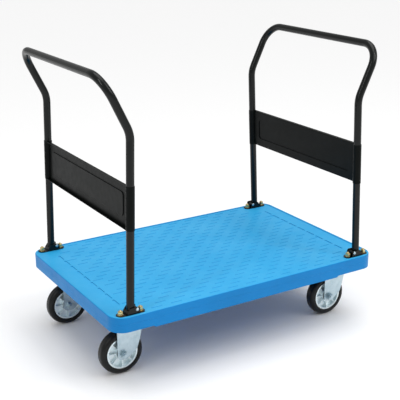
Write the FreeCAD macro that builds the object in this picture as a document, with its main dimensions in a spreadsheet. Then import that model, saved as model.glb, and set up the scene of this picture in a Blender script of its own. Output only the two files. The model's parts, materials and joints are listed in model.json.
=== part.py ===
"""Platform cart with a moulded deck, two folding tube handles and four swivel casters.

Frame: origin on the floor under the middle of the deck, +X along the deck towards the right
handle, +Y across it, +Z up. Millimetres. "front" is the -Y side and "rear" the +Y side.
"""
import FreeCAD
import Part
import math
import os
import Sketcher

Vector = FreeCAD.Vector

# ---------------------------------------------------------------- driving sizes
SIZES = {
    # deck
    "deck_length": 900.0,
    "deck_width": 600.0,
    "deck_rise": 54.0,            # caster mounting face to the top of the raised lip
    "side_height": 44.0,          # skirt below the lip at the corners
    "skirt_drop": 4.5,            # how much deeper the skirt is along the middle
    "skirt_drop_left": 326.0,     # from the middle to the left end of the deeper part
    "skirt_drop_right": 301.0,
    "skirt_ramp": 7.0,
    "plan_radius": 45.0,
    "rim_radius_top": 4.0,
    "side_wall": 4.0,
    "deck_sheet": 5.0,
    "lip_height": 2.0,
    "lip_width": 8.0,
    "waist_depth": 0.35,          # shallow groove round the side
    "waist_height": 1.4,
    "waist_below_top": 21.0,
    "rib_wall": 3.0,
    "rib_depth": 32.0,
    "rib_beyond_pivot": 33.0,     # outermost lengthwise rib beyond the casters' swivel axes
    "slot_length": 36.0,          # shallow slots in a row across each end of the deck
    "slot_width": 6.0,
    "slot_depth": 1.6,
    "slot_inset": 58.0,
    "slot_span": 384.0,
    # handle feet
    "foot_inset_x": 59.5,         # deck end to the pivot
    "foot_inset_y": 23.6,         # deck side to the middle of the tube
    "foot_length": 84.0,
    "foot_sheet": 2.5,
    "foot_seat_gap": 0.6,         # foot plate to the recess in the lip
    "foot_bolt_span": 60.0,
    "ear_sheet": 2.5,
    "ear_side_gap": 0.6,          # ear to tube
    "ear_toe": 8.0,               # ear base beyond the pin
    "ear_top_radius": 6.5,
    "boss_radius": 12.0,
    "boss_depth": 22.0,
    # handle tube
    "tube_diameter": 22.2,
    "tube_wall": 1.6,
    "tube_end_gap": 0.4,          # swinging tube end to the foot plate and to the stop
    "lean_angle": 2.02,           # both handles lean inboard
    "upright_length": 480.0,      # pivot to the bend
    "top_rise": 146.5,
    "top_outset": 76.8,
    "bend_radius": 80.0,
    "corner_radius": 65.0,
    # handle panel
    "panel_low": 221.7,           # above the pivot, along the upright
    "panel_height": 120.0,
    "panel_sheet": 1.2,
    "panel_flange": 11.0,
    "panel_bend": 2.4,
    "press_inset": 26.0,
    "press_depth": 2.0,
    "press_corner": 12.0,
    "press_edge": 1.0,
    "weld_radius": 1.7,
    "weld_proud": 0.5,
    "weld_inset": 20.0,
    "weld_pitch": 19.0,
    # pivot
    "pivot_inset": 14.5,          # the pin lies this far inboard of the tube axis
    "pin_radius": 3.0,
    "pin_clearance": 0.05,
    "pin_head_radius": 5.0,
    "pin_head_height": 1.8,
    "sleeve_radius": 4.2,
    "sleeve_side_gap": 0.2,
    # foot fasteners, M8
    "bolt_radius": 4.0,
    "hole_clearance": 0.3,
    "hex_wall": 2.5,              # bolt thread to the flats of its head and nut
    "nut_height": 6.5,
    "head_height": 5.3,
    "washer_margin": 4.0,         # washer beyond the bolt
    "washer_sheet": 1.6,
    "spring_margin": 2.6,
    "spring_sheet": 2.0,
    "spring_slit": 1.2,
    "thread_end": 3.6,
    # caster
    "pivot_inset_x": 84.75,
    "pivot_inset_y": 111.0,
    "trail": 19.0,
    "wheel_diameter": 130.0,
    "wheel_width": 35.0,
    "tyre_shoulder": 12.0,
    "tyre_thickness": 17.5,
    "core_width": 30.0,
    "core_rim": 5.0,
    "core_web": 5.0,
    "hub_radius": 21.0,
    "hub_width": 34.0,
    "core_rib_wall": 3.2,
    "core_rib_width": 24.0,
    "bearing_radius": 16.0,
    "bearing_width": 10.0,
    "bearing_groove": 1.0,
    "hub_step": 3.0,
    "axle_radius": 6.0,
    "axle_clearance": 0.05,
    "axle_hex": 18.0,
    "axle_head": 7.5,
    "axle_nut_height": 10.0,
    "axle_end": 3.0,
    "spacer_radius": 9.0,
    "spacer_gap": 0.2,
    "wheel_side_gap": 3.0,
    "fork_sheet": 2.8,
    "crown_sheet": 3.0,
    "wheel_top_gap": 16.0,        # tyre to the top of the crown
    "crown_drop": 20.0,           # mounting face to the top of the crown
    "crown_radius": 40.0,
    "fork_shoulder": 5.0,
    "fork_heel": 18.0,            # leg outline, measured from the axle
    "fork_tip": 16.0,
    "fork_toe": 12.0,
    "fork_lobe": 43.0,
    "fork_lobe_rise": 9.0,
    "fork_brow": 51.0,
    "fork_brow_rise": 33.0,
    "fork_front": 62.0,
    "fork_corner": 12.0,
    "fork_boss_radius": 13.0,
    "fork_boss_height": 1.4,
    "plate_length": 105.0,
    "plate_width": 90.0,
    "plate_sheet": 4.0,
    "plate_corner": 8.0,
    "plate_bolt_x": 84.0,
    "plate_bolt_y": 70.0,
    "race_inner": 20.0,
    "race_outer": 36.0,
    "race_height": 4.0,
    "shield_gap": 1.5,
    "shield_sheet": 1.5,
    "shield_height": 10.0,
    "ball_radius": 3.3,
    "ball_circle": 28.0,
    "kingpin_radius": 6.0,
    "kingpin_head": 10.0,
    "kingpin_head_height": 5.0,
    "kingpin_gap": 0.2,
    "kingpin_peen": 3.0,
    "pad_length": 116.0,
    "pad_width": 102.0,
    "pad_window_x": 58.0,
    "pad_window_y": 48.0,
    "insert_wall": 2.0,
    "insert_length": 20.0,
    "caster_bolt_length": 22.0,
}

RIBS_ACROSS = 11
RIBS_ALONG = 7
SLOTS = 9
WELDS = 6
CORE_RIBS = 8
BALLS = 12

SIDES = {"left": -1, "right": 1}
ENDS = {"front": -1, "rear": 1}

# ---------------------------------------------------------------- shared expressions
CROWN_TOP = "(Sizes.wheel_diameter + Sizes.wheel_top_gap)"
MOUNT_FACE = f"({CROWN_TOP} + Sizes.crown_drop)"
DECK_TOP = f"({MOUNT_FACE} + Sizes.deck_rise)"
DECK_BOTTOM = f"({DECK_TOP} - Sizes.side_height)"
LOAD_FACE = f"({DECK_TOP} - Sizes.lip_height)"
CEILING = f"({LOAD_FACE} - Sizes.deck_sheet)"
FOOT_X = "(Sizes.deck_length / 2 - Sizes.foot_inset_x)"
FOOT_Y = "(Sizes.deck_width / 2 - Sizes.foot_inset_y)"
TUBE_R = "(Sizes.tube_diameter / 2)"
PIVOT_RISE = f"(Sizes.foot_sheet + Sizes.tube_end_gap + {TUBE_R})"
PIVOT_Z = f"({LOAD_FACE} + {PIVOT_RISE})"
PIVOT_X = f"({FOOT_X} - Sizes.pivot_inset)"
CHANNEL = f"({TUBE_R} + Sizes.ear_side_gap)"
FOOT_HALF = f"({CHANNEL} + Sizes.ear_sheet)"
FOOT_SEAT = f"({FOOT_HALF} + Sizes.foot_seat_gap)"
LEAN = "(Sizes.lean_angle * 1 deg)"
BOLT_HOLE_R = "(Sizes.bolt_radius + Sizes.hole_clearance)"
HEX = "(2 * (Sizes.bolt_radius + Sizes.hex_wall))"
CASTER_X = "(Sizes.deck_length / 2 - Sizes.pivot_inset_x)"
CASTER_Y = "(Sizes.deck_width / 2 - Sizes.pivot_inset_y)"
WHEEL_R = "(Sizes.wheel_diameter / 2)"
CORE_R = f"({WHEEL_R} - Sizes.tyre_thickness)"
FORK_IN = "(Sizes.wheel_width / 2 + Sizes.wheel_side_gap)"
FORK_OUT = f"({FORK_IN} + Sizes.fork_sheet)"
AXLE_FACE = f"({FORK_OUT} + Sizes.fork_boss_height)"
CROWN_BOTTOM = f"({CROWN_TOP} - Sizes.crown_sheet)"
PLATE_BOTTOM = f"({MOUNT_FACE} - Sizes.plate_sheet)"
LOWER_RACE = f"({CROWN_TOP} + Sizes.race_height)"
UPPER_RACE_FACE = f"({LOWER_RACE} + 2 * Sizes.ball_radius + 0.4)"

doc = FreeCAD.newDocument("platform_cart")
sheet = doc.addObject("Spreadsheet::Sheet", "Sizes")
for row, (alias, value) in enumerate(SIZES.items(), start=1):
    sheet.set(f"A{row}", alias)
    sheet.set(f"B{row}", str(value))
    sheet.setAlias(f"B{row}", alias)
doc.recompute()

nodes = []


def size(expression):
    """The number that an expression over the sheet gives."""
    return float(sheet.evalExpression(expression))


def keep(obj, label):
    """Name a finished sub-part, which is written to parts/LABEL.step."""
    obj.Label = label
    nodes.append(obj)
    return obj


def bind(obj, **expressions):
    """Bind properties to expressions; a double underscore stands for a dot."""
    for name, expression in expressions.items():
        obj.setExpression(name.replace("__", "."), str(expression))
    return obj


def place(obj, x="0", y="0", z="0"):
    return bind(obj, Placement__Base__x=x, Placement__Base__y=y, Placement__Base__z=z)


# ---------------------------------------------------------------- sketch and feature helpers
def new_body(name):
    return doc.addObject("PartDesign::Body", name)


def new_sketch(body, name, plane="XY_Plane", lift="0"):
    """Sketch on one of the body's origin planes, raised along the plane's normal."""
    sketch = body.newObject("Sketcher::SketchObject", name)
    support = next(item for item in body.Origin.OriginFeatures if item.Role == plane)
    sketch.AttachmentSupport = [(support, "")]
    sketch.MapMode = "FlatFace"
    sketch.setExpression("AttachmentOffset.Base.z", lift)
    return sketch


def pin_point(sketch, geometry, point, x, y):
    """Fix one point of a sketch at x, y, both given as expressions."""
    for axis, kind, expression in ((-2, "DistanceX", x), (-1, "DistanceY", y)):
        if expression == "0":
            sketch.addConstraint(Sketcher.Constraint("PointOnObject", geometry, point, axis))
            continue
        datum = Sketcher.Constraint(kind, -1, 1, geometry, point, size(expression))
        index = sketch.addConstraint(datum)
        sketch.setExpression(f"Constraints[{index}]", expression)


def polygon(sketch, corners):
    """Closed outline through corners, each a pair of expressions."""
    first = sketch.GeometryCount
    points = [Vector(size(x), size(y), 0) for x, y in corners]
    for index, start in enumerate(points):
        end = points[(index + 1) % len(points)]
        sketch.addGeometry(Part.LineSegment(start, end), False)
    for index in range(len(points)):
        following = first + (index + 1) % len(points)
        sketch.addConstraint(Sketcher.Constraint("Coincident", first + index, 2, following, 1))
    for index, (x, y) in enumerate(corners):
        pin_point(sketch, first + index, 1, x, y)
    return sketch


def rectangle(sketch, width, height, x="0", y="0"):
    """Rectangle of the given width and height about x, y."""
    left, right = f"{x} - ({width}) / 2", f"{x} + ({width}) / 2"
    low, high = f"{y} - ({height}) / 2", f"{y} + ({height}) / 2"
    return polygon(sketch, [(left, low), (right, low), (right, high), (left, high)])


def rounded_rectangle(sketch, width, height, radius, y="0"):
    """Rectangle about (0, y) with tangent arcs at its corners."""
    half_w, half_h, r = size(f"({width}) / 2"), size(f"({height}) / 2"), size(radius)
    lift = Vector(0, size(y), 0)
    lines, arcs = [], []
    for quarter in range(4):
        across, up = (half_w, half_h) if quarter % 2 == 0 else (half_h, half_w)
        turn = FreeCAD.Rotation(Vector(0, 0, 1), 90 * quarter)
        start, end = Vector(r - across, -up, 0), Vector(across - r, -up, 0)
        centre = lift + turn.multVec(Vector(across - r, r - up, 0))
        line = Part.LineSegment(lift + turn.multVec(start), lift + turn.multVec(end))
        whole = Part.Circle(centre, Vector(0, 0, 1), r)
        arc = Part.ArcOfCircle(whole, math.radians(90 * quarter - 90), math.radians(90 * quarter))
        lines.append(sketch.addGeometry(line, False))
        arcs.append(sketch.addGeometry(arc, False))
    for quarter in range(4):
        following = lines[(quarter + 1) % 4]
        sketch.addConstraint(Sketcher.Constraint("Tangent", lines[quarter], 2, arcs[quarter], 1))
        sketch.addConstraint(Sketcher.Constraint("Tangent", arcs[quarter], 2, following, 1))
    sketch.addConstraint(Sketcher.Constraint("Horizontal", lines[0]))
    sketch.addConstraint(Sketcher.Constraint("Vertical", lines[1]))
    sketch.addConstraint(Sketcher.Constraint("Horizontal", lines[2]))
    sketch.addConstraint(Sketcher.Constraint("Equal", arcs[0], arcs[1]))
    sketch.addConstraint(Sketcher.Constraint("Equal", arcs[0], arcs[2]))
    sides = (("DistanceY", lines[0], f"{y} - ({height}) / 2"), ("DistanceX", lines[1], f"({width}) / 2"),
             ("DistanceY", lines[2], f"{y} + ({height}) / 2"), ("DistanceX", lines[3], f"-({width}) / 2"))
    for kind, line, expression in sides:
        datum = Sketcher.Constraint(kind, -1, 1, line, 1, size(expression))
        index = sketch.addConstraint(datum)
        sketch.setExpression(f"Constraints[{index}]", expression)
    index = sketch.addConstraint(Sketcher.Constraint("Radius", arcs[0], r))
    sketch.setExpression(f"Constraints[{index}]", radius)
    return sketch


def circle(sketch, radius, x="0", y="0"):
    centre = Vector(size(x), size(y), 0)
    index = sketch.addGeometry(Part.Circle(centre, Vector(0, 0, 1), size(radius)), False)
    pin_point(sketch, index, 3, x, y)
    datum = sketch.addConstraint(Sketcher.Constraint("Radius", index, size(radius)))
    sketch.setExpression(f"Constraints[{datum}]", radius)
    return sketch


def extrude(kind, body, name, sketch, length, both=False, flip=False):
    """Pad or Pocket of a sketch; it must change the body's volume."""
    before = body.Shape.Volume if not body.Shape.isNull() else 0.0
    feature = body.newObject(f"PartDesign::{kind}", name)
    feature.Profile = sketch
    feature.setExpression("Length", length)
    feature.Reversed = flip
    if both:
        feature.SideType = "Symmetric"
    doc.recompute()
    change = body.Shape.Volume - before
    if (kind == "Pad") != (change > 0) or abs(change) < 1e-3:
        raise RuntimeError(f"{body.Name}.{name} changed the volume by {change:.3f}")
    return feature


def pad(body, name, sketch, length, **options):
    return extrude("Pad", body, name, sketch, length, **options)


def pocket(body, name, sketch, length, **options):
    return extrude("Pocket", body, name, sketch, length, **options)


def round_edges(body, name, radius, chosen):
    """Fillet the body's edges for which chosen(edge) holds."""
    base = body.Tip
    edges = [f"Edge{i}" for i, edge in enumerate(base.Shape.Edges, start=1) if chosen(edge)]
    if not edges:
        raise RuntimeError(f"{body.Name}.{name} found no edge")
    feature = body.newObject("PartDesign::Fillet", name)
    feature.Base = (base, edges)
    feature.setExpression("Radius", radius)
    doc.recompute()
    return feature


def runs_along(edge, axis):
    """True for a straight edge parallel to the axis x, y or z."""
    if not isinstance(edge.Curve, Part.Line):
        return False
    return abs(getattr(edge.Curve.Direction, axis)) > 0.9999


def middle(edge):
    return edge.BoundBox.Center


def revolve(body, name, sketch, axis="H_Axis"):
    feature = body.newObject("PartDesign::Revolution", name)
    feature.Profile = sketch
    feature.ReferenceAxis = (sketch, [axis])
    doc.recompute()
    return feature


def repeat_line(body, name, feature, sketch, axis, span, count):
    pattern = body.newObject("PartDesign::LinearPattern", name)
    pattern.Originals = [feature]
    pattern.Direction = (sketch, [axis])
    pattern.setExpression("Length", span)
    pattern.Occurrences = count
    body.Tip = pattern
    doc.recompute()
    return pattern


# ---------------------------------------------------------------- solid helpers
def cylinder(name, radius, height, along="z", **at):
    """Part::Cylinder from its base point along x, y or z."""
    solid = doc.addObject("Part::Cylinder", name)
    turn = {"x": (Vector(0, 1, 0), 90), "y": (Vector(1, 0, 0), -90), "z": (Vector(0, 0, 1), 0)}
    solid.Placement.Rotation = FreeCAD.Rotation(*turn[along])
    bind(solid, Radius=radius, Height=height)
    return place(solid, **at)


def hexagon(name, across, height, along="z", **at):
    """Hexagonal prism, its size given across the flats."""
    solid = doc.addObject("Part::Prism", name)
    solid.Polygon = 6
    turn = {"y": (Vector(1, 0, 0), -90), "z": (Vector(0, 0, 1), 0)}
    solid.Placement.Rotation = FreeCAD.Rotation(*turn[along])
    bind(solid, Circumradius=f"({across}) / sqrt(3)", Height=height)
    return place(solid, **at)


def join(name, *solids):
    fused = doc.addObject("Part::MultiFuse", name)
    fused.Shapes = list(solids)
    return fused


def subtract(name, base, tool):
    cut = doc.addObject("Part::Cut", name)
    cut.Base = base
    cut.Tool = tool
    return cut


def ring(name, outer, inner, height, along="z", **at):
    """Washer-like solid with a bore right through it."""
    return subtract(name, cylinder(f"{name}_disc", outer, height, along, **at),
                    cylinder(f"{name}_bore", inner, height, along, **at))


def copy_at(source, name, x, y, z="0"):
    link = doc.addObject("App::Link", name)
    link.LinkedObject = source
    return place(link, x, y, z)


def group(label, source, spots):
    """One node that holds a copy of the source at each spot."""
    copies = [copy_at(source, f"{label}_{i}", *spot) for i, spot in enumerate(spots, start=1)]
    compound = doc.addObject("Part::Compound", label)
    compound.Links = copies
    return keep(compound, label)


# ---------------------------------------------------------------- places that repeat
def foot_bolt_spots():
    return [(f"{side} * {FOOT_X} + {half} * Sizes.foot_bolt_span / 2",
             f"{end} * {FOOT_Y}")
            for side in SIDES.values() for end in ENDS.values() for half in (-1, 1)]


def caster_spots():
    return {f"{side}_{end}": (f"{SIDES[side]} * {CASTER_X}", f"{ENDS[end]} * {CASTER_Y}")
            for side in SIDES for end in ENDS}


def plate_bolt_offsets():
    return [(f"{i} * Sizes.plate_bolt_x / 2", f"{j} * Sizes.plate_bolt_y / 2")
            for i in (-1, 1) for j in (-1, 1)]


def caster_bolt_spots():
    return [(f"{x} + {dx}", f"{y} + {dy}")
            for x, y in caster_spots().values() for dx, dy in plate_bolt_offsets()]


# ---------------------------------------------------------------- deck
def make_deck():
    """Moulded deck: a skirted tray, ribbed below, with pads for the casters and bosses."""
    body = new_body("deck")
    wide, deep = "Sizes.deck_length", "Sizes.deck_width"
    outline = rectangle(new_sketch(body, "outline", lift=DECK_BOTTOM), wide, deep)
    pad(body, "block", outline, "Sizes.side_height")
    round_edges(body, "plan_corners", "Sizes.plan_radius", lambda edge: runs_along(edge, "z"))

    drop = new_sketch(body, "skirt_drop_outline", "XZ_Plane")
    left, right = "-Sizes.skirt_drop_left", "Sizes.skirt_drop_right"
    low = f"{DECK_BOTTOM} - Sizes.skirt_drop"
    polygon(drop, [(f"{left} - Sizes.skirt_ramp", DECK_BOTTOM), (left, low),
                   (right, low), (f"{right} + Sizes.skirt_ramp", DECK_BOTTOM)])
    pad(body, "skirt_drop_pad", drop, deep, both=True)

    top = size(DECK_TOP)
    round_edges(body, "top_round", "Sizes.rim_radius_top",
                lambda edge: abs(middle(edge).z - top) < 1e-3)

    tray = new_sketch(body, "tray_outline", lift=DECK_TOP)
    rounded_rectangle(tray, f"{wide} - 2 * Sizes.lip_width", f"{deep} - 2 * Sizes.lip_width",
                      "Sizes.plan_radius - Sizes.lip_width")
    pocket(body, "tray", tray, "Sizes.lip_height")
    load_face = size(LOAD_FACE)
    round_edges(body, "tray_floor_round", "Sizes.lip_height - 0.2",
                lambda edge: abs(middle(edge).z - load_face) < 1e-3)

    ends = new_sketch(body, "foot_seat_ends", lift=DECK_TOP)
    seats = new_sketch(body, "foot_seat_outlines", lift=DECK_TOP)
    for side in SIDES.values():
        for end in ENDS.values():
            middle_y = f"{end} * {FOOT_Y}"
            rectangle(seats, f"Sizes.foot_length - 2 * {FOOT_HALF}", f"2 * {FOOT_SEAT}",
                      f"{side} * {FOOT_X}", middle_y)
            for half in (-1, 1):
                plate_end = f"{side} * {FOOT_X} + {half} * (Sizes.foot_length / 2 - {FOOT_HALF})"
                circle(ends, FOOT_SEAT, plate_end, middle_y)
    pocket(body, "foot_seats", seats, "Sizes.lip_height")
    pocket(body, "foot_seat_rounds", ends, "Sizes.lip_height")

    cavity = new_sketch(body, "cavity_outline", lift=f"{DECK_BOTTOM} - Sizes.skirt_drop")
    rounded_rectangle(cavity, f"{wide} - 2 * Sizes.side_wall", f"{deep} - 2 * Sizes.side_wall",
                      "Sizes.plan_radius - Sizes.side_wall")
    pocket(body, "cavity", cavity, f"{CEILING} - {DECK_BOTTOM} + Sizes.skirt_drop", flip=True)

    across = new_sketch(body, "rib_across_outline", lift=CEILING)
    rectangle(across, "Sizes.rib_wall", f"{deep} - Sizes.side_wall", x=f"-{FOOT_X}")
    first = pad(body, "rib_across", across, "Sizes.rib_depth", flip=True)
    repeat_line(body, "ribs_across", first, across, "H_Axis",
                f"2 * {FOOT_X}", RIBS_ACROSS)
    rib_edge = f"({CASTER_Y} + Sizes.rib_beyond_pivot)"
    along = new_sketch(body, "rib_along_outline", lift=CEILING)
    rectangle(along, f"{wide} - Sizes.side_wall", "Sizes.rib_wall", y=f"-{rib_edge}")
    first = pad(body, "rib_along", along, "Sizes.rib_depth", flip=True)
    repeat_line(body, "ribs_along", first, along, "V_Axis", f"2 * {rib_edge}", RIBS_ALONG)

    pads = new_sketch(body, "pad_outlines", lift=CEILING)
    windows = new_sketch(body, "pad_windows", lift=MOUNT_FACE)
    for x, y in caster_spots().values():
        rectangle(pads, "Sizes.pad_length", "Sizes.pad_width", x, y)
        rectangle(windows, "Sizes.pad_window_x", "Sizes.pad_window_y", x, y)
    pad(body, "caster_pads", pads, f"{CEILING} - {MOUNT_FACE}", flip=True)
    pocket(body, "pad_hollows", windows, f"{CEILING} - {MOUNT_FACE}", flip=True)
    inserts = new_sketch(body, "insert_holes", lift=MOUNT_FACE)
    for x, y in caster_bolt_spots():
        circle(inserts, "Sizes.bolt_radius + Sizes.insert_wall", x, y)
    pocket(body, "insert_bores", inserts, "Sizes.insert_length", flip=True)

    bosses = new_sketch(body, "boss_outlines", lift=CEILING)
    holes = new_sketch(body, "boss_holes", lift=DECK_TOP)
    for x, y in foot_bolt_spots():
        circle(bosses, "Sizes.boss_radius", x, y)
        circle(holes, BOLT_HOLE_R, x, y)
    pad(body, "foot_bosses", bosses, "Sizes.boss_depth", flip=True)
    pocket(body, "foot_bolt_holes", holes, "Sizes.side_height")

    waist = new_sketch(body, "waist_outline", lift=f"{DECK_TOP} - Sizes.waist_below_top")
    rounded_rectangle(waist, f"{wide} + 2", f"{deep} + 2", "Sizes.plan_radius + 1")
    rounded_rectangle(waist, f"{wide} - 2 * Sizes.waist_depth", f"{deep} - 2 * Sizes.waist_depth",
                      "Sizes.plan_radius - Sizes.waist_depth")
    pocket(body, "waist", waist, "Sizes.waist_height")

    for side in SIDES.values():
        name = f"slot_{'left' if side < 0 else 'right'}"
        slot = new_sketch(body, f"{name}_outline", lift=LOAD_FACE)
        rectangle(slot, "Sizes.slot_width", "Sizes.slot_length",
                  f"{side} * ({wide} / 2 - Sizes.slot_inset)", "-Sizes.slot_span / 2")
        first = pocket(body, name, slot, "Sizes.slot_depth")
        repeat_line(body, f"{name}_row", first, slot, "V_Axis", "Sizes.slot_span", SLOTS)
    return keep(body, "deck")


# ---------------------------------------------------------------- handle feet
def make_foot(side_name, end_name):
    """Foot bracket in its own frame: origin on the deck surface under the tube."""
    out = SIDES[side_name]
    body = new_body(f"foot_{side_name}_{end_name}")
    plate = new_sketch(body, "plate_outline")
    rectangle(plate, "Sizes.foot_length", f"2 * {FOOT_HALF}")
    pad(body, "plate", plate, "Sizes.foot_sheet")
    round_edges(body, "plate_ends", f"{FOOT_HALF} - 0.1", lambda edge: runs_along(edge, "z"))

    ears = new_sketch(body, "ear_outline", "XZ_Plane")
    top = f"{PIVOT_RISE} + Sizes.ear_top_radius"
    stop = f"{out} * (({TUBE_R} + Sizes.tube_end_gap) / cos({LEAN}) + Sizes.ear_sheet)"
    toe = f"{-out} * (Sizes.pivot_inset + Sizes.ear_toe)"
    polygon(ears, [(toe, "Sizes.foot_sheet / 2"),
                   (f"{toe} + {out} * 0.5", "Sizes.foot_sheet + 3"),
                   (f"{-out} * (Sizes.pivot_inset + Sizes.ear_top_radius)", top),
                   (f"{out} * Sizes.ear_top_radius", top),
                   (f"{stop} + {out} * 1.5", "Sizes.foot_sheet + 5"),
                   (f"{stop} + {out} * 2.5", "Sizes.foot_sheet / 2")])
    pad(body, "ears", ears, f"2 * {FOOT_HALF}", both=True)
    ear_top = size(top)
    round_edges(body, "ear_tops", "Sizes.ear_top_radius - 0.8",
                lambda edge: runs_along(edge, "y") and abs(middle(edge).z - ear_top) < 1e-3)

    channel = new_sketch(body, "channel_outline", "XZ_Plane")
    face = f"{out} * ({TUBE_R} + Sizes.tube_end_gap) / cos({LEAN})"
    slope = f"{out} * tan({LEAN})"
    polygon(channel, [(f"{-out} * 2 * Sizes.pivot_inset - {out} * Sizes.ear_toe", "Sizes.foot_sheet"),
                      (f"{face} + {slope} * {PIVOT_RISE}", "Sizes.foot_sheet"),
                      (f"{face} - {slope} * 2 * Sizes.ear_top_radius",
                       f"{PIVOT_RISE} + 2 * Sizes.ear_top_radius"),
                      (f"{-out} * 2 * Sizes.pivot_inset - {out} * Sizes.ear_toe",
                       f"{PIVOT_RISE} + 2 * Sizes.ear_top_radius")])
    pocket(body, "channel", channel, f"2 * {CHANNEL}", both=True)

    bores = new_sketch(body, "pin_bores", "XZ_Plane")
    circle(bores, "Sizes.pin_radius", f"{-out} * Sizes.pivot_inset", PIVOT_RISE)
    pocket(body, "pin_holes", bores, f"4 * {FOOT_HALF}", both=True)

    holes = new_sketch(body, "bolt_bores", lift="Sizes.foot_sheet")
    for half in (-1, 1):
        circle(holes, BOLT_HOLE_R, f"{half} * Sizes.foot_bolt_span / 2")
    pocket(body, "bolt_holes", holes, "Sizes.foot_sheet")
    place(body, f"{out} * {FOOT_X}", f"{ENDS[end_name]} * {FOOT_Y}", LOAD_FACE)
    return keep(body, f"foot_bracket_{side_name}_{end_name}")


def make_pins():
    """Pivot pins through the ears, with a low domed head at each end."""
    shank = cylinder("pin_shank", "Sizes.pin_radius", f"2 * {FOOT_HALF}", "y",
                     y=f"-{FOOT_HALF}", z=PIVOT_RISE)
    parts = [shank]
    for end, sign in ENDS.items():
        head = doc.addObject("Part::Cone", f"pin_{end}_head")
        head.Placement.Rotation = FreeCAD.Rotation(Vector(1, 0, 0), -90 * sign)
        bind(head, Radius1="Sizes.pin_head_radius", Radius2="Sizes.pin_head_radius * 0.6",
             Height="Sizes.pin_head_height")
        parts.append(place(head, y=f"{sign} * {FOOT_HALF}", z=PIVOT_RISE))
    spots = [(f"{side} * {PIVOT_X}", f"{end} * {FOOT_Y}", LOAD_FACE)
             for side in SIDES.values() for end in ENDS.values()]
    group("pivot_pins", join("pivot_pin", *parts), spots)


def slit_ring(name, outer, inner, height, slit):
    """Spring washer: a ring with one radial slit."""
    plain = ring(f"{name}_whole", outer, inner, height)
    gap = doc.addObject("Part::Box", f"{name}_gap")
    bind(gap, Length=f"2 * ({outer})", Width=slit, Height=height)
    place(gap, "0", f"-({slit}) / 2", "0")
    return subtract(name, plain, gap)


def make_foot_fasteners():
    """M8 bolts up through the bosses, with nuts on top of the foot plates."""
    boss_face = f"({CEILING} - Sizes.boss_depth)"
    plate_top = f"({LOAD_FACE} + Sizes.foot_sheet)"
    stack = "(Sizes.washer_sheet + Sizes.spring_sheet + Sizes.nut_height)"
    shank_length = f"{plate_top} + {stack} + Sizes.thread_end - {boss_face} + Sizes.washer_sheet"
    chamfer = "Sizes.bolt_radius / 4"
    head = hexagon("foot_bolt_head", HEX, "Sizes.head_height",
                   z="-Sizes.head_height")
    shank = cylinder("foot_bolt_shank", "Sizes.bolt_radius", f"{shank_length} - {chamfer}")
    tip = doc.addObject("Part::Cone", "foot_bolt_tip")
    bind(tip, Radius1="Sizes.bolt_radius", Radius2=f"Sizes.bolt_radius - {chamfer}", Height=chamfer)
    place(tip, z=f"{shank_length} - {chamfer}")
    bolt = join("foot_bolt", head, shank, tip)
    nut = subtract("foot_nut", hexagon("foot_nut_hex", HEX, "Sizes.nut_height"),
                   cylinder("foot_nut_bore", "Sizes.bolt_radius", "Sizes.nut_height"))
    flat = ring("flat_washer", "Sizes.bolt_radius + Sizes.washer_margin", BOLT_HOLE_R, "Sizes.washer_sheet")
    spring = slit_ring("spring_washer", "Sizes.bolt_radius + Sizes.spring_margin", "Sizes.bolt_radius + 0.2",
                       "Sizes.spring_sheet", "Sizes.spring_slit")
    spots = foot_bolt_spots()
    under = f"{boss_face} - Sizes.washer_sheet"
    group("foot_bolts", bolt, [(x, y, under) for x, y in spots])
    group("foot_flat_washers", flat, [(x, y, z) for x, y in spots for z in (under, plate_top)])
    spring_z = f"{plate_top} + Sizes.washer_sheet"
    group("foot_spring_washers", spring, [(x, y, spring_z) for x, y in spots])
    nut_z = f"{spring_z} + Sizes.spring_sheet"
    group("foot_nuts", nut, [(x, y, nut_z) for x, y in spots])


# ---------------------------------------------------------------- handles
def bent_path(points, radii):
    """Wire through points with an arc of the given radius at each inner point."""
    edges = []
    start = points[0]
    for before, corner, after, radius in zip(points, points[1:], points[2:], radii):
        into = (corner - before).normalize()
        away = (after - corner).normalize()
        turn = into.getAngle(away)
        reach = radius * math.tan(turn / 2)
        inward = (away - into).normalize()
        depth = radius / math.cos(turn / 2) - radius
        first, last = corner - into * reach, corner + away * reach
        edges.append(Part.LineSegment(start, first).toShape())
        edges.append(Part.Arc(first, corner + inward * depth, last).toShape())
        start = last
    edges.append(Part.LineSegment(start, points[-1]).toShape())
    return Part.Wire(edges)


def tilt(obj, out):
    """Hang a handle piece, made about its tube axis, on the pivot with its inboard lean."""
    obj.Placement.Rotation = FreeCAD.Rotation(Vector(0, 1, 0), -out * size("Sizes.lean_angle"))
    obj.setExpression("Placement.Rotation.Angle", f"{-out} * Sizes.lean_angle")
    obj.Placement.Rotation.Axis = Vector(0, 1, 0)
    x = f"{out} * ({PIVOT_X} + Sizes.pivot_inset * cos({LEAN}))"
    return place(obj, x, "0", f"{PIVOT_Z} + Sizes.pivot_inset * sin({LEAN})")


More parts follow.
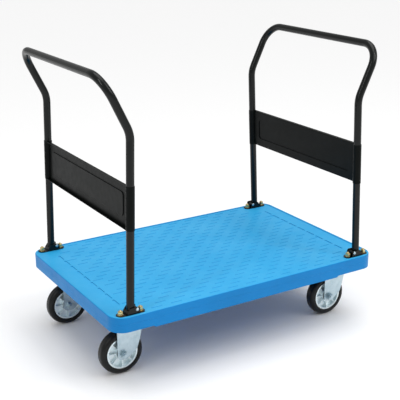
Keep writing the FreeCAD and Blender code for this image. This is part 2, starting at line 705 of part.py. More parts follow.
def make_handle_tube(side_name):
    """Bent tube in its own frame: origin between the uprights, level with the pivots."""
    out = SIDES[side_name]
    name = f"{side_name}_handle"
    y, height = size(FOOT_Y), size("Sizes.upright_length")
    top = height + size("Sizes.top_rise")
    outset = out * size("Sizes.top_outset")
    bend, corner = size("Sizes.bend_radius"), size("Sizes.corner_radius")
    end = -size(TUBE_R)
    path = doc.addObject("Part::Feature", f"{name}_path")
    path.Shape = bent_path(
        [Vector(0, -y, end), Vector(0, -y, height), Vector(outset, -y, top),
         Vector(outset, y, top), Vector(0, y, height), Vector(0, y, end)],
        [bend, corner, corner, bend])
    swept = []
    for part, radius in (("skin", TUBE_R), ("bore", f"({TUBE_R} - Sizes.tube_wall)")):
        section = doc.addObject("Part::Circle", f"{name}_{part}_section")
        bind(section, Radius=radius)
        place(section, y=f"-{FOOT_Y}", z=f"-{TUBE_R}")
        sweep = doc.addObject("Part::Sweep", f"{name}_{part}")
        sweep.Sections = [section]
        sweep.Spine = (path, [f"Edge{i}" for i in range(1, len(path.Shape.Edges) + 1)])
        sweep.Solid = True
        swept.append(sweep)
    skin, bore = swept
    across = f"2 * {FOOT_Y} + 4 * {TUBE_R}"
    pin = {"x": f"{-out} * Sizes.pivot_inset", "y": f"-({across}) / 2"}
    seat = cylinder(f"{name}_sleeve_seat", "Sizes.sleeve_radius", across, "y", **pin)
    corner_block = doc.addObject("Part::Box", f"{name}_end_corner")
    bind(corner_block, Length=f"2 * {TUBE_R}", Width=across, Height=TUBE_R)
    place(corner_block, f"{TUBE_R} * ({out} - 1)", pin["y"], f"-{TUBE_R} - 1")
    swing = cylinder(f"{name}_swing", f"Sizes.pivot_inset + {TUBE_R} + Sizes.tube_end_gap / 2",
                     across, "y", **pin)
    trim = subtract(f"{name}_end_trim", corner_block, swing)
    tube = subtract(f"{name}_tube", skin, join(f"{name}_inside", bore, seat, trim))
    return keep(tilt(tube, out), f"{name}_tube")


def make_pivot_sleeves(side_name):
    """Sleeves welded to the inboard side of the tube ends, which turn on the pivot pins."""
    out = SIDES[side_name]
    half = f"({CHANNEL} - Sizes.sleeve_side_gap)"
    bore = "Sizes.pin_radius + Sizes.pin_clearance"
    sleeves = []
    for end_name, end in ENDS.items():
        sleeves.append(ring(f"{side_name}_{end_name}_sleeve", "Sizes.sleeve_radius", bore,
                            f"2 * {half}", "y", x=f"{-out} * Sizes.pivot_inset",
                            y=f"{end} * {FOOT_Y} - {half}"))
    compound = doc.addObject("Part::Compound", f"{side_name}_sleeves")
    compound.Links = sleeves
    return keep(tilt(compound, out), f"{side_name}_pivot_sleeves")


def make_panel(side_name):
    """Pressed sheet between the uprights, wrapped round both tubes, flanged outboard."""
    out = SIDES[side_name]
    body = new_body(f"{side_name}_panel")
    low = "Sizes.panel_low"
    high = f"({low} + Sizes.panel_height)"
    mid = f"({low} + Sizes.panel_height / 2)"
    sheet_t = "Sizes.panel_sheet"
    sleeve_r = f"({TUBE_R} + {sheet_t})"

    profile = new_sketch(body, "channel_section", "XZ_Plane")
    edge_x = f"{out} * Sizes.panel_flange"
    inner = f"{-out} * {sheet_t} / 2"
    outer = f"{out} * {sheet_t} / 2"
    polygon(profile, [(inner, low), (edge_x, low), (edge_x, f"{low} + {sheet_t}"),
                      (outer, f"{low} + {sheet_t}"), (outer, f"{high} - {sheet_t}"),
                      (edge_x, f"{high} - {sheet_t}"), (edge_x, high), (inner, high)])
    pad(body, "channel", profile, f"2 * {FOOT_Y}", both=True)
    wraps = new_sketch(body, "wrap_outlines", lift=low)
    bores = new_sketch(body, "wrap_bores", lift=f"{low} - 1")
    for end in ENDS.values():
        circle(wraps, sleeve_r, "0", f"{end} * {FOOT_Y}")
        circle(bores, TUBE_R, "0", f"{end} * {FOOT_Y}")
    pad(body, "wraps", wraps, "Sizes.panel_height")
    pocket(body, "wrap_holes", bores, "Sizes.panel_height + 2", flip=True)

    back = size(inner)
    round_edges(body, "bends", "Sizes.panel_bend",
                lambda edge: runs_along(edge, "y") and abs(middle(edge).x - back) < 1e-3)

    pressing = new_sketch(body, "pressing_outline", "YZ_Plane", lift=outer)
    press_y = f"2 * ({FOOT_Y} - {TUBE_R} - Sizes.press_inset)"
    press_z = "Sizes.panel_height - 2 * Sizes.press_inset"
    rounded_rectangle(pressing, press_y, press_z, "Sizes.press_corner", y=mid)
    pad(body, "pressing", pressing, "Sizes.press_depth", flip=out < 0)
    hollow = new_sketch(body, "hollow_outline", "YZ_Plane", lift=inner)
    rounded_rectangle(hollow, f"{press_y} - 2 * {sheet_t}", f"{press_z} - 2 * {sheet_t}",
                      f"Sizes.press_corner - {sheet_t}", y=mid)
    pocket(body, "hollow", hollow, "Sizes.press_depth", flip=out > 0)
    raised = size(f"{outer} + {out} * Sizes.press_depth")
    round_edges(body, "pressing_edge", "Sizes.press_edge",
                lambda edge: abs(middle(edge).x - raised) < 1e-3)

    row_z = f"{mid} - {WELDS - 1} * Sizes.weld_pitch / 2"
    flat_spots = new_sketch(body, "weld_outlines", "YZ_Plane")
    for end in ENDS.values():
        circle(flat_spots, "Sizes.weld_radius", f"{end} * ({FOOT_Y} - Sizes.weld_inset)", row_z)
    span = f"{WELDS - 1} * Sizes.weld_pitch"
    for face in (-1, 1):
        name = "front_crimp" if face < 0 else "back_crimp"
        spots = new_sketch(body, f"{name}_outlines", "YZ_Plane", f"{face} * ({TUBE_R} + {sheet_t} / 2)")
        for end in ENDS.values():
            circle(spots, "Sizes.weld_radius", f"{end} * {FOOT_Y}", row_z)
        crimp = pad(body, name, spots, f"{sheet_t} / 2 + Sizes.weld_proud", flip=face < 0)
        repeat_line(body, f"{name}s", crimp, spots, "V_Axis", span, WELDS)
    weld = pad(body, "weld", flat_spots, f"{sheet_t} + 2 * Sizes.weld_proud", both=True)
    repeat_line(body, "welds", weld, flat_spots, "V_Axis", span, WELDS)
    return keep(tilt(body, out), f"{side_name}_handle_panel")


# ---------------------------------------------------------------- caster, in its own frame
# Origin on the floor under the swivel axis; the wheel trails towards -X.
AXLE_X = "(-Sizes.trail)"


def make_fork():
    """Pressed fork: two legs under a round crown that carries the lower ball race."""
    body = new_body("fork")
    legs = new_sketch(body, "leg_outline", "XZ_Plane")
    polygon(legs, [(f"{AXLE_X} - Sizes.fork_heel", CROWN_TOP),
                   (f"{AXLE_X} - Sizes.fork_heel", f"{WHEEL_R} - Sizes.fork_tip"),
                   (f"{AXLE_X} + Sizes.fork_toe", f"{WHEEL_R} - Sizes.fork_tip"),
                   (f"{AXLE_X} + Sizes.fork_lobe", f"{WHEEL_R} + Sizes.fork_lobe_rise"),
                   (f"{AXLE_X} + Sizes.fork_brow", f"{WHEEL_R} + Sizes.fork_brow_rise"),
                   (f"{AXLE_X} + Sizes.fork_front", CROWN_TOP)])
    pad(body, "leg_block", legs, f"2 * {FORK_OUT}", both=True)
    crown = size(CROWN_TOP)
    round_edges(body, "leg_corners", "Sizes.fork_corner",
                lambda edge: runs_along(edge, "y") and middle(edge).z < crown - 1
                and abs(middle(edge).z - size(f"{WHEEL_R} + Sizes.fork_brow_rise")) > 1)
    round_edges(body, "shoulders", "Sizes.fork_shoulder",
                lambda edge: runs_along(edge, "x") and abs(middle(edge).z - crown) < 1e-3)
    well = new_sketch(body, "wheel_well", "YZ_Plane")
    polygon(well, [(f"-{FORK_IN}", "0"), (FORK_IN, "0"), (FORK_IN, CROWN_BOTTOM),
                   (f"-{FORK_IN}", CROWN_BOTTOM)])
    pocket(body, "well", well, "4 * Sizes.fork_front", both=True)
    disc = circle(new_sketch(body, "crown_outline", lift=CROWN_BOTTOM), "Sizes.crown_radius")
    pad(body, "crown", disc, "Sizes.crown_sheet")
    race = circle(new_sketch(body, "race_outline", lift=CROWN_TOP), "Sizes.race_outer")
    circle(race, "Sizes.race_inner")
    pad(body, "lower_race", race, "Sizes.race_height")
    bosses = new_sketch(body, "axle_bosses", "XZ_Plane", lift=FORK_OUT)
    circle(bosses, "Sizes.fork_boss_radius", AXLE_X, WHEEL_R)
    pad(body, "front_axle_boss", bosses, "Sizes.fork_boss_height")
    bosses = new_sketch(body, "rear_axle_bosses", "XZ_Plane", lift=f"-{FORK_OUT}")
    circle(bosses, "Sizes.fork_boss_radius", AXLE_X, WHEEL_R)
    pad(body, "rear_axle_boss", bosses, "Sizes.fork_boss_height", flip=True)
    axle = circle(new_sketch(body, "axle_bore", "XZ_Plane"), "Sizes.axle_radius", AXLE_X, WHEEL_R)
    pocket(body, "axle_hole", axle, f"4 * {FORK_OUT}", both=True)
    king = new_sketch(body, "kingpin_bore", lift=MOUNT_FACE)
    circle(king, "Sizes.kingpin_radius + Sizes.pin_clearance")
    pocket(body, "kingpin_hole", king, "2 * Sizes.crown_drop")
    return body


def make_plate():
    """Mounting plate with the upper ball race and a dust shield pressed below it."""
    body = new_body("plate")
    outline = rectangle(new_sketch(body, "outline", lift=PLATE_BOTTOM), "Sizes.plate_length",
                        "Sizes.plate_width")
    pad(body, "sheet", outline, "Sizes.plate_sheet")
    round_edges(body, "corners", "Sizes.plate_corner", lambda edge: runs_along(edge, "z"))
    race = circle(new_sketch(body, "race_outline", lift=UPPER_RACE_FACE), "Sizes.race_outer")
    circle(race, "Sizes.race_inner")
    pad(body, "upper_race", race, f"{PLATE_BOTTOM} - {UPPER_RACE_FACE}")
    shield = new_sketch(body, "shield_outline", lift=PLATE_BOTTOM)
    circle(shield, "Sizes.race_outer + Sizes.shield_gap + Sizes.shield_sheet")
    circle(shield, "Sizes.race_outer + Sizes.shield_gap")
    pad(body, "dust_shield", shield, "Sizes.shield_height", flip=True)
    holes = new_sketch(body, "holes", lift=MOUNT_FACE)
    for x, y in plate_bolt_offsets():
        circle(holes, BOLT_HOLE_R, x, y)
    circle(holes, "Sizes.kingpin_radius")
    pocket(body, "through_holes", holes, "Sizes.plate_sheet + 1")
    return body


def make_wheel_core():
    """Cast core: hub, web, rim and radial ribs, turned about the axle."""
    body = new_body("wheel_core")
    half_rim, half_web = "Sizes.core_width / 2", "Sizes.core_web / 2"
    half_hub = "Sizes.hub_width / 2"
    rim_in = f"({CORE_R} - Sizes.core_rim)"
    seat_y = f"({half_hub} - Sizes.bearing_width)"
    seat_r = "(Sizes.bearing_radius - Sizes.hub_step)"
    half = [(half_rim, CORE_R), (half_rim, rim_in), (half_web, rim_in),
            (half_web, "Sizes.hub_radius"), (half_hub, "Sizes.hub_radius"),
            (half_hub, "Sizes.bearing_radius"), (seat_y, "Sizes.bearing_radius"), (seat_y, seat_r)]
    section = new_sketch(body, "section", "YZ_Plane")
    polygon(section, half + [(f"-{y}", r) for y, r in reversed(half)])
    revolve(body, "turned", section)
    rib = new_sketch(body, "rib_outline", "XZ_Plane")
    rectangle(rib, "Sizes.core_rib_wall", f"{rim_in} - Sizes.hub_radius + 2",
              y=f"({rim_in} + Sizes.hub_radius) / 2")
    first = pad(body, "rib", rib, "Sizes.core_rib_width", both=True)
    ribs = body.newObject("PartDesign::PolarPattern", "ribs")
    ribs.Originals = [first]
    ribs.Axis = (section, ["H_Axis"])
    ribs.Angle = 360
    ribs.Occurrences = CORE_RIBS
    body.Tip = ribs
    doc.recompute()
    return place(body, AXLE_X, "0", WHEEL_R)


def make_tyre():
    """Solid rubber tyre moulded on the core, with round shoulders."""
    body = new_body("tyre")
    section = new_sketch(body, "section", "YZ_Plane")
    half = "Sizes.wheel_width / 2"
    polygon(section, [(f"-{half} + 1.5", CORE_R), (f"{half} - 1.5", CORE_R),
                      (half, f"{CORE_R} + 2"), (half, WHEEL_R), (f"-{half}", WHEEL_R),
                      (f"-{half}", f"{CORE_R} + 2")])
    revolve(body, "turned", section)
    outside = size(WHEEL_R)
    round_edges(body, "round_shoulders", "Sizes.tyre_shoulder",
                lambda edge: isinstance(edge.Curve, Part.Circle)
                and abs(edge.Curve.Radius - outside) < 1e-3)
    return place(body, AXLE_X, "0", WHEEL_R)


def make_bearings():
    """Two shielded ball bearings, one at each face of the hub."""
    face = "Sizes.hub_width / 2"
    pieces = []
    for name, sign in (("front", -1), ("rear", 1)):
        y = f"-{face}" if sign < 0 else f"{face} - Sizes.bearing_width"
        race = ring(f"{name}_bearing_body", "Sizes.bearing_radius",
                    "Sizes.axle_radius + Sizes.axle_clearance", "Sizes.bearing_width", "y",
                    x=AXLE_X, y=y, z=WHEEL_R)
        groove_y = f"-{face}" if sign < 0 else f"{face} - Sizes.bearing_groove"
        groove = ring(f"{name}_bearing_groove", "Sizes.bearing_radius - 2.5",
                      "Sizes.axle_radius + 2.5", "Sizes.bearing_groove", "y",
                      x=AXLE_X, y=groove_y, z=WHEEL_R)
        pieces.append(subtract(f"{name}_bearing", race, groove))
    compound = doc.addObject("Part::Compound", "bearings")
    compound.Links = pieces
    return compound


def make_spacers():
    """Collars that fill the gaps between the bearings and the fork legs."""
    start = "(Sizes.hub_width / 2 + Sizes.spacer_gap)"
    length = f"{FORK_IN} - {start}"
    pieces = [ring(f"{name}_spacer", "Sizes.spacer_radius", "Sizes.axle_radius", length, "y",
                   x=AXLE_X, y=y, z=WHEEL_R)
              for name, y in (("front", f"-{FORK_IN}"), ("rear", start))]
    compound = doc.addObject("Part::Compound", "spacers")
    compound.Links = pieces
    return compound


def make_axle():
    """Axle bolt: hexagon head on the rear leg, threaded end in front."""
    front = f"-{AXLE_FACE} - Sizes.axle_nut_height - Sizes.axle_end"
    shank = cylinder("axle_shank", "Sizes.axle_radius", f"{AXLE_FACE} - ({front})", "y",
                     x=AXLE_X, y=front, z=WHEEL_R)
    head = hexagon("axle_head", "Sizes.axle_hex", "Sizes.axle_head", "y",
                   x=AXLE_X, y=AXLE_FACE, z=WHEEL_R)
    return join("axle", shank, head)


def make_axle_nut():
    spot = {"x": AXLE_X, "y": f"-{AXLE_FACE} - Sizes.axle_nut_height", "z": WHEEL_R}
    return subtract("axle_nut", hexagon("axle_nut_hex", "Sizes.axle_hex", "Sizes.axle_nut_height",
                                        "y", **spot),
                    cylinder("axle_nut_bore", "Sizes.axle_radius", "Sizes.axle_nut_height", "y", **spot))


def make_kingpin():
    """Kingpin riveted into the plate; its head holds the crown up."""
    head_top = f"({CROWN_BOTTOM} - Sizes.kingpin_gap)"
    head = cylinder("kingpin_head", "Sizes.kingpin_head", "Sizes.kingpin_head_height",
                    z=f"{head_top} - Sizes.kingpin_head_height")
    shank = cylinder("kingpin_shank", "Sizes.kingpin_radius",
                     f"{MOUNT_FACE} - {head_top}", z=head_top)
    peen = doc.addObject("Part::Cone", "kingpin_peen")
    bind(peen, Radius1="Sizes.kingpin_head - 1", Radius2="Sizes.kingpin_radius",
         Height="Sizes.kingpin_peen")
    place(peen, z=MOUNT_FACE)
    return join("kingpin", head, shank, peen)


def make_balls():
    """The ball ring between the two races of one caster."""
    balls = []
    for index in range(BALLS):
        ball = doc.addObject("Part::Sphere", f"ball_{index + 1}")
        bind(ball, Radius="Sizes.ball_radius")
        turn = f"{index * 360 / BALLS} deg"
        place(ball, f"Sizes.ball_circle * cos({turn})", f"Sizes.ball_circle * sin({turn})",
              f"({LOWER_RACE} + {UPPER_RACE_FACE}) / 2")
        balls.append(ball)
    ring_of_balls = doc.addObject("Part::Compound", "ball_ring")
    ring_of_balls.Links = balls
    return ring_of_balls


def make_caster_bolt():
    """Hexagon bolt up into the moulded-in nut."""
    head = hexagon("caster_bolt_head", HEX, "Sizes.head_height",
                   z=f"{PLATE_BOTTOM} - Sizes.spring_sheet - Sizes.head_height")
    shank = cylinder("caster_bolt_shank", "Sizes.bolt_radius", "Sizes.caster_bolt_length",
                     z=f"{PLATE_BOTTOM} - Sizes.spring_sheet")
    return join("caster_bolt", head, shank)


def make_casters():
    per_caster = {"caster_plate": make_plate(), "caster_fork": make_fork(),
                  "wheel_core": make_wheel_core(), "tyre": make_tyre(),
                  "wheel_bearings": make_bearings(), "axle_spacers": make_spacers(),
                  "axle_bolt": make_axle(), "axle_nut": make_axle_nut()}
    for corner, (x, y) in caster_spots().items():
        for label, source in per_caster.items():
            holder = doc.addObject("Part::Compound", f"{label}_{corner}_holder")
            holder.Links = [source]
            keep(place(holder, x, y), f"{label}_{corner}")
    spots = list(caster_spots().values())
    group("kingpins", make_kingpin(), spots)
    group("swivel_balls", make_balls(), spots)
    bolt_spots = caster_bolt_spots()
    group("caster_bolts", make_caster_bolt(), bolt_spots)
    spring = slit_ring("caster_spring", "Sizes.bolt_radius + Sizes.spring_margin", "Sizes.bolt_radius + 0.2",
                       "Sizes.spring_sheet", "Sizes.spring_slit")
    spring_z = f"{PLATE_BOTTOM} - Sizes.spring_sheet"
    group("caster_spring_washers", spring, [(x, y, spring_z) for x, y in bolt_spots])
    insert = ring("insert_nut", "Sizes.bolt_radius + Sizes.insert_wall", "Sizes.bolt_radius", "Sizes.insert_length",
                  z=MOUNT_FACE)
    group("insert_nuts", insert, bolt_spots)


def write_parts():
    """Check every object, then write each sub-part to its own file."""
    doc.recompute()
    failed = [obj.Name for obj in doc.Objects if {"Invalid", "Error"} & set(obj.State)]
    if failed:
        raise RuntimeError(f"failed objects: {failed}")
    for node in nodes:
        if node.Shape.isNull() or not node.Shape.isValid() or not node.Shape.Solids:
            raise RuntimeError(f"bad shape: {node.Label}")
    os.makedirs("parts", exist_ok=True)
    for node in nodes:
        node.Shape.exportStep(f"parts/{node.Label}.step")
        print(f"{node.Label}: {len(node.Shape.Solids)} solids, {node.Shape.Volume / 1000:.1f} cm3")


make_deck()
for side in SIDES:
    for end in ENDS:
        make_foot(side, end)
make_pins()
make_foot_fasteners()
for side in SIDES:
    make_handle_tube(side)
    make_pivot_sleeves(side)
    make_panel(side)
make_casters()
write_parts()
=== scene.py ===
"""Looks, camera and light for the folding platform cart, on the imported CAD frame. Metres."""
import bpy
import json
import math
from mathutils import Matrix, Vector


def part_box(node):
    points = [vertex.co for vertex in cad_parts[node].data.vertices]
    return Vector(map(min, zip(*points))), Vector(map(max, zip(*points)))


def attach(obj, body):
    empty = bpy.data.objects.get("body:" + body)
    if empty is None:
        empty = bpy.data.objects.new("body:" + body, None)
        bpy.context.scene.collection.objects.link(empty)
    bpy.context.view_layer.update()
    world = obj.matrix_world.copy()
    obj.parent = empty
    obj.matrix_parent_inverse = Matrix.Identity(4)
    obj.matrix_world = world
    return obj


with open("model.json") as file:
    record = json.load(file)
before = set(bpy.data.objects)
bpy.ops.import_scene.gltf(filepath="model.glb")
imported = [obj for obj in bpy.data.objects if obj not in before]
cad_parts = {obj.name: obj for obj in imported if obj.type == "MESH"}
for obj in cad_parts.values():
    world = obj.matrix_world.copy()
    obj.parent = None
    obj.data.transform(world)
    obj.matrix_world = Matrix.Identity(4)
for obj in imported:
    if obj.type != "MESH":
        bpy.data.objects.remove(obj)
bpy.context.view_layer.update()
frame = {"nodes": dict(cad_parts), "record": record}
scene = bpy.context.scene
scene.view_settings.view_transform = "Standard"


# ---------------------------------------------------------------- colour and node helpers
def linear(code):
    """Linear RGBA of an sRGB hex colour."""
    channels = [int(code[start:start + 2], 16) / 255 for start in (1, 3, 5)]
    return [value / 12.92 if value <= 0.04045 else ((value + 0.055) / 1.055) ** 2.4
            for value in channels] + [1.0]


def add(tree, kind, inputs=None, **settings):
    """Adds a shader node with its settings, input values and links."""
    made = tree.nodes.new("ShaderNode" + kind)
    for name, value in settings.items():
        setattr(made, name, value)
    for key, value in (inputs or {}).items():
        if isinstance(value, bpy.types.NodeSocket):
            tree.links.new(value, made.inputs[key])
        else:
            made.inputs[key].default_value = value
    return made


class Surface:
    """A material under construction: its node tree, its coordinates and its main shader."""

    def __init__(self, name, metallic, roughness, **inputs):
        self.material = bpy.data.materials.new(name)
        self.material.use_nodes = True
        self.tree = self.material.node_tree
        self.shader = self.tree.nodes["Principled BSDF"]
        self.shader.inputs["Metallic"].default_value = metallic
        self.shader.inputs["Roughness"].default_value = roughness
        for key, value in inputs.items():
            self.shader.inputs[key.replace("_", " ")].default_value = value
        self.place = add(self.tree, "TexCoord").outputs["Object"]

    def noise(self, size, detail=4.0, roughness=0.6, stretch=(1, 1, 1)):
        """Noise whose blotches are about size metres across."""
        where = add(self.tree, "Mapping", {"Vector": self.place, "Scale": stretch}).outputs[0]
        made = add(self.tree, "TexNoise", {"Vector": where, "Scale": 1 / size, "Detail": detail,
                                           "Roughness": roughness})
        return made.outputs["Fac"]

    def spread(self, value, low, high, to_low=0.0, to_high=1.0):
        """Value stretched from low..high to to_low..to_high and clamped there."""
        made = add(self.tree, "MapRange", {"Value": value, "From Min": low, "From Max": high,
                                           "To Min": to_low, "To Max": to_high})
        return made.outputs["Result"]

    def mix(self, factor, first, second):
        """Colour between two hex codes or sockets."""
        made = add(self.tree, "Mix", data_type="RGBA")
        for socket, value in zip((made.inputs[0], made.inputs[6], made.inputs[7]),
                                 (factor, first, second)):
            if isinstance(value, bpy.types.NodeSocket):
                self.tree.links.new(value, socket)
            else:
                socket.default_value = linear(value) if isinstance(value, str) else value
        return made.outputs[2]

    def math(self, operation, first, second):
        """Result of one arithmetic step on two values."""
        return add(self.tree, "Math", {0: first, 1: second}, operation=operation).outputs[0]

    def set(self, key, value):
        """Gives the main shader's input a value or a link."""
        if isinstance(value, bpy.types.NodeSocket):
            self.tree.links.new(value, self.shader.inputs[key])
        else:
            self.shader.inputs[key].default_value = value

    def relief(self, layers, edge=0.0):
        """Bump layers of (height socket, depth in metres), over edges softened by edge metres."""
        normal = None
        if edge:
            normal = add(self.tree, "Bevel", {"Radius": edge}, samples=4).outputs[0]
        for height, depth in layers:
            inputs = {"Height": height, "Distance": depth, "Strength": 1.0}
            if normal:
                inputs["Normal"] = normal
            normal = add(self.tree, "Bump", inputs).outputs[0]
        self.tree.links.new(normal, self.shader.inputs["Normal"])


# ---------------------------------------------------------------- materials
def moulded_polypropylene():
    """Spark-textured moulding: soft sheen, light scuffs on upward faces, and painted light and
    shade: a paler blue on upward faces and a deeper blue on side faces.
    """
    s = Surface("moulded_polypropylene_spark_textured", 0.0, 0.4, IOR=1.49)
    cloud = s.noise(0.16, detail=3)
    grain = s.noise(0.0011, detail=2)
    shade = s.spread(cloud, 0.35, 0.65)
    # The plastic is one colour: the paler blue of upward faces stands in for the light they catch.
    geometry = add(s.tree, "NewGeometry")
    upward = add(s.tree, "SeparateXYZ", {0: geometry.outputs["Normal"]}).outputs[2]
    painted_light_mask = s.spread(upward, 0.55, 0.95)
    # Painted light and shade: side faces take the deeper blue as painted shade, upward faces the
    # paler blue as painted light.
    painted_shade_blue = s.mix(shade, "#0079BE", "#0080C8")
    top = s.mix(shade, "#2AA5DF", "#38ACE3")
    base = s.mix(painted_light_mask, painted_shade_blue, top)
    # Scuffs run along the deck, about eight times as long as they are wide.
    scuff = s.spread(s.noise(0.012, detail=6, roughness=0.7, stretch=(0.12, 1, 1)), 0.64, 0.72)
    scuffed_top = s.math("MULTIPLY", s.math("MULTIPLY", scuff, painted_light_mask), 0.3)
    s.set("Base Color", s.mix(scuffed_top, base, "#5DBBEA"))
    s.set("Specular IOR Level", 0.22)
    rough = s.spread(s.noise(0.03, detail=5), 0.3, 0.7, 0.36, 0.5)
    s.set("Roughness", s.math("ADD", rough, s.math("MULTIPLY", scuff, 0.12)))
    s.relief([(grain, 0.00006), (s.noise(0.05, detail=2), 0.0004)], edge=0.0009)
    return s.material


def black_paint(name, level, roughness, peel):
    """Black paint on steel: orange peel breaks up its highlights, and fine dust greys it."""
    s = Surface(name, 0.0, roughness, IOR=1.5)
    base = s.mix(s.spread(s.noise(0.05), 0.3, 0.7), "#050807", "#0A0E0D")
    dust = s.spread(s.noise(0.006, detail=6, roughness=0.75), 0.6, 0.78)
    s.set("Base Color", s.mix(s.math("MULTIPLY", dust, 0.25), base, "#151A18"))
    s.set("Roughness", s.spread(s.noise(0.018, detail=5), 0.3, 0.7, roughness, roughness + 0.1))
    s.set("Specular IOR Level", level)
    s.relief([(s.noise(0.0022, detail=1.5), peel)], edge=0.0005)
    return s.material


def yellow_zinc_plate():
    """Yellow passivated zinc: straw metal that drifts towards pink and green, with dull spots."""
    s = Surface("yellow_passivated_zinc_on_steel", 1.0, 0.35)
    drift = s.noise(0.006, detail=3)
    warm = s.mix(s.spread(drift, 0.35, 0.65), "#DCC98C", "#D2B98F")
    greenish = s.spread(s.noise(0.009, detail=2), 0.5, 0.7)
    s.set("Base Color", s.mix(greenish, warm, "#C0C79A"))
    s.set("Roughness", s.spread(s.noise(0.0015, detail=4), 0.3, 0.7, 0.24, 0.46))
    s.relief([(s.noise(0.0006, detail=3), 0.00002)], edge=0.0004)
    return s.material


def bright_zinc_plate():
    """Bright zinc plate on pressed steel: cold metal with rolled streaks and cloudy patches."""
    s = Surface("bright_zinc_plate_on_pressed_steel", 1.0, 0.3)
    cloud = s.noise(0.02, detail=5)
    s.set("Base Color", s.mix(s.spread(cloud, 0.3, 0.7), "#A6BAC3", "#C2D2D9"))
    streak = s.noise(0.0012, detail=4, stretch=(1, 1, 0.06))
    rough = s.spread(cloud, 0.3, 0.7, 0.24, 0.4)
    s.set("Roughness", s.math("ADD", rough, s.spread(streak, 0.4, 0.8, 0.0, 0.12)))
    s.relief([(streak, 0.00002), (s.noise(0.004, detail=2), 0.00005)], edge=0.0006)
    return s.material


def die_cast_aluminium():
    """Die-cast aluminium: pale satin metal with a grainy skin and flow marks."""
    s = Surface("die_cast_aluminium_as_cast", 1.0, 0.42)
    flow = s.noise(0.012, detail=5, roughness=0.65)
    s.set("Base Color", s.mix(s.spread(flow, 0.3, 0.7), "#DCEBF0", "#F2FAFC"))
    s.set("Roughness", s.spread(flow, 0.3, 0.7, 0.34, 0.52))
    s.relief([(s.noise(0.0009, detail=4), 0.00006)], edge=0.0006)
    return s.material


def tyre_rubber():
    """Moulded rubber: near-black with a waxy sheen, faint dust and a finely pitted skin."""
    s = Surface("moulded_black_rubber_wiped", 0.0, 0.4, IOR=1.5)
    s.set("Specular IOR Level", 0.28)
    dust = s.spread(s.noise(0.008, detail=7, roughness=0.72), 0.45, 0.75)
    s.set("Base Color", s.mix(s.math("MULTIPLY", dust, 0.25), "#08090A", "#232528"))
    s.set("Roughness", s.spread(dust, 0.0, 1.0, 0.3, 0.6))
    s.relief([(s.noise(0.0012, detail=3), 0.0001)], edge=0.0008)
    return s.material


def ground_bearing_steel():
    """Ground steel: bright, with very fine hoops left by the wheel and a film of oil."""
    s = Surface("ground_bearing_steel_oiled", 1.0, 0.2)
    s.set("Base Color", s.mix(s.spread(s.noise(0.004), 0.3, 0.7), "#B9BCBE", "#D5D7D8"))
    s.set("Roughness", s.spread(s.noise(0.001, detail=5), 0.3, 0.7, 0.14, 0.28))
    s.relief([(s.noise(0.0005, detail=2), 0.00001)], edge=0.0003)
    return s.material


materials = {
    "deck_plastic": moulded_polypropylene(),
    "black_steel": black_paint("gloss_black_enamel_on_steel_tube", 0.26, 0.16, 0.00002),
    "yellow_zinc": yellow_zinc_plate(),
    "bright_zinc": bright_zinc_plate(),
    "cast_aluminium": die_cast_aluminium(),
    "tyre_rubber": tyre_rubber(),
    "bearing_steel": ground_bearing_steel(),
}
slots = {part["node"]: part["material_slot"] for part in frame["record"]["subparts"]}
panel_paint = black_paint("satin_black_powder_coat_on_pressed_sheet", 0.08, 0.34, 0.00004)
for node, obj in frame["nodes"].items():
    obj.data.materials.clear()
    obj.data.materials.append(panel_paint if node.endswith("panel") else materials[slots[node]])


# ---------------------------------------------------------------- added relief
def piece(name, vertices, faces, slot_name, body, smooth=False):
    """A mesh piece in the row frame that rides on a body."""
    mesh = bpy.data.meshes.new(name)
    mesh.from_pydata(vertices, [], faces)
    mesh.materials.append(materials[slot_name])
    for polygon in mesh.polygons:
        polygon.use_smooth = smooth
    obj = bpy.data.objects.new(name, mesh)
    scene.collection.objects.link(obj)
    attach(obj, body)
    return obj


SUNK = 0.0001            # how far added relief starts inside the surface it stands on
LIP_HEIGHT = 0.002       # the deck's raised edge above its load surface
deck_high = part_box("deck")[1]
LOAD_Z = deck_high[2] - LIP_HEIGHT


def grip_bars():
    """Short raised bars along X, in staggered rows over the whole deck top."""
    length, width, height, slope = 0.033, 0.0040, 0.0010, 0.0010
    pitch_x, pitch_y = 0.062, 0.0230
    stagger = 0.37           # share of the pitch that each row moves on
    foot_margin = 0.01       # bare strip round each foot
    reach_x, reach_y = deck_high[0] - 0.075, deck_high[1] - 0.020
    foot_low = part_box("foot_bracket_right_rear")[0]
    vertices, faces = [], []
    rows = int(2 * reach_y / pitch_y)
    columns = int(2 * reach_x / pitch_x)
    for row in range(rows + 1):
        y = -rows * pitch_y / 2 + row * pitch_y
        for column in range(columns + 1):
            x = -columns * pitch_x / 2 + (column + row * stagger % 1) * pitch_x
            at_foot = abs(x) > foot_low[0] - foot_margin and abs(y) > foot_low[1] - foot_margin
            if abs(x) > reach_x or at_foot:
                continue
            first = len(vertices)
            for grow, rise in ((0, -SUNK), (-slope, height)):
                half_x, half_y = length / 2 + grow, width / 2 + grow
                z = LOAD_Z + rise
                vertices += [(x - half_x, y - half_y, z), (x + half_x, y - half_y, z),
                             (x + half_x, y + half_y, z), (x - half_x, y + half_y, z)]
            faces.append([first + 4, first + 5, first + 6, first + 7])
            for side in range(4):
                after = (side + 1) % 4
                faces.append([first + side, first + after, first + 4 + after, first + 4 + side])
    return piece("deck_grip_bars", vertices, faces, "deck_plastic", "deck_frame")


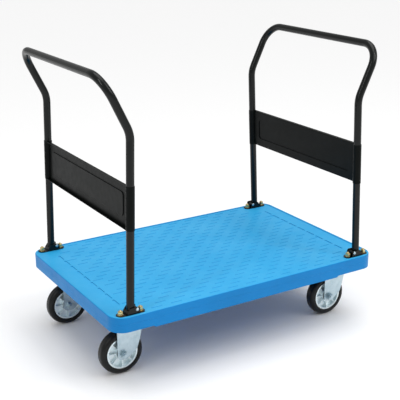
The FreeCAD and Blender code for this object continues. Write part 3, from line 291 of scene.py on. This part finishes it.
def lathe(name, profile, centres, slot_name, body, axis="z", steps=48):
    """Rings turned from (radius, height) profiles about an axis through each centre."""
    vertices, faces = [], []
    for centre in centres:
        first = len(vertices)
        for step in range(steps):
            angle = 2 * math.pi * step / steps
            for radius, height in profile:
                flat = (radius * math.cos(angle), radius * math.sin(angle))
                offset = (flat[0], flat[1], height) if axis == "z" else (flat[0], height, flat[1])
                vertices.append([a + b for a, b in zip(centre, offset)])
        count = len(profile)
        for step in range(steps):
            here, there = first + step * count, first + (step + 1) % steps * count
            for index in range(count - 1):
                faces.append([here + index, there + index, there + index + 1, here + index + 1])
    return piece(name, vertices, faces, slot_name, body, smooth=axis != "z")


def bolt_threads():
    """Rolled thread on the bolt ends above the nuts."""
    nuts_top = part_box("foot_nuts")[1][2]
    pitch, root_radius, depth, turns = 0.00125, 0.00395, 0.00045, 2
    nut_gap = 0.0001         # between the nut's top and the first turn
    bolt_offset = 0.030      # each bolt from the middle of its foot
    profile = []
    for turn in range(turns):
        z = nuts_top + nut_gap + turn * pitch
        profile += [(root_radius, z), (root_radius + depth, z + pitch / 2),
                    (root_radius, z + pitch)]
    centres = []
    for side in ("left", "right"):
        for end in ("front", "rear"):
            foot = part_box(f"foot_bracket_{side}_{end}")
            middle = [(low + high) / 2 for low, high in zip(*foot)]
            for half in (-1, 1):
                centres.append((middle[0] + half * bolt_offset, middle[1], 0.0))
    return lathe("foot_bolt_threads", profile, centres, "yellow_zinc", "deck_frame")


def tyre_rings():
    """Two fine moulded rings on each sidewall of every tyre."""
    ring_radii = (0.0503, 0.0522)
    section = ((-0.0006, -SUNK), (-0.0002, 0.0003), (0.0002, 0.0003), (0.0006, -SUNK))
    for corner in ("left_front", "left_rear", "right_front", "right_rear"):
        low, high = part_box(f"tyre_{corner}")
        centre = [(a + b) / 2 for a, b in zip(low, high)]
        half_width = (high[1] - low[1]) / 2
        for index, radius in enumerate(ring_radii):
            for side, end in ((-1, "front"), (1, "rear")):
                profile = [(radius + across, side * (half_width + out))
                           for across, out in section]
                lathe(f"tyre_ring_{corner}_{index}_{end}", profile, [centre], "tyre_rubber",
                      f"wheel_{corner}", axis="y", steps=96)


grip_bars()
bolt_threads()
tyre_rings()

# ---------------------------------------------------------------- floor, light and camera
FLOOR = 30               # half the width of the paper
floor_mesh = bpy.data.meshes.new("floor")
floor_mesh.from_pydata([(-FLOOR, -FLOOR, 0), (FLOOR, -FLOOR, 0), (FLOOR, FLOOR, 0),
                        (-FLOOR, FLOOR, 0)], [], [[0, 1, 2, 3]])
floor = bpy.data.objects.new("floor", floor_mesh)
scene.collection.objects.link(floor)
paper = Surface("matt_white_paper_sweep", 0.0, 0.9)
paper.set("Base Color", linear("#FFFFFF"))
floor_mesh.materials.append(paper.material)

world = bpy.data.worlds.new("studio")
scene.world = world
world.use_nodes = True
sky = world.node_tree.nodes["Background"]
sky.inputs["Color"].default_value = (1.0, 1.0, 1.0, 1.0)
sky.inputs["Strength"].default_value = 0.55


def softbox(name, place, target, width, height, power):
    """Rectangular lamp of power watts that looks at a target."""
    light = bpy.data.lights.new(name, "AREA")
    light.shape = "RECTANGLE"
    light.size, light.size_y = width, height
    light.energy = power
    lamp = bpy.data.objects.new(name, light)
    lamp.location = place
    lamp.rotation_euler = (Vector(target) - Vector(place)).to_track_quat("-Z", "Y").to_euler()
    scene.collection.objects.link(lamp)


softbox("key", (0.6, -1.6, 2.4), (0, 0, 0.3), 1.2, 1.6, 14)
softbox("left_strip", (-2.4, -0.9, 2.3), (-0.3, 0, 0.6), 0.2, 1.8, 14)
softbox("right_strip", (1.7, -2.1, 2.6), (0.4, 0, 0.6), 0.2, 1.8, 14)
ceiling = bpy.data.lights.new("ceiling", "SUN")
ceiling.energy = 1.25
ceiling.angle = math.radians(50)
ceiling_lamp = bpy.data.objects.new("ceiling", ceiling)
ceiling_lamp.location = (0, 0, 3)
ceiling_lamp.rotation_euler = (math.radians(-8), math.radians(6), 0)
scene.collection.objects.link(ceiling_lamp)

# The camera looks along forward, and is turned a little about that line.
CAMERA_PLACE = (-1.3659, -2.2641, 1.2725)
forward = Vector((0.48916, 0.81282, -0.31631)).normalized()
level = forward.cross(Vector((0, 0, 1))).normalized()
above = level.cross(forward)
roll = math.radians(-0.52)
right = math.cos(roll) * level + math.sin(roll) * above
up = -math.sin(roll) * level + math.cos(roll) * above
camera_data = bpy.data.cameras.new("camera")
camera_data.sensor_width = 36
camera_data.lens = 81.39
camera = bpy.data.objects.new("camera", camera_data)
turn = Matrix((right, up, -forward)).transposed().to_4x4()
camera.matrix_world = Matrix.Translation(CAMERA_PLACE) @ turn
scene.collection.objects.link(camera)
scene.camera = camera
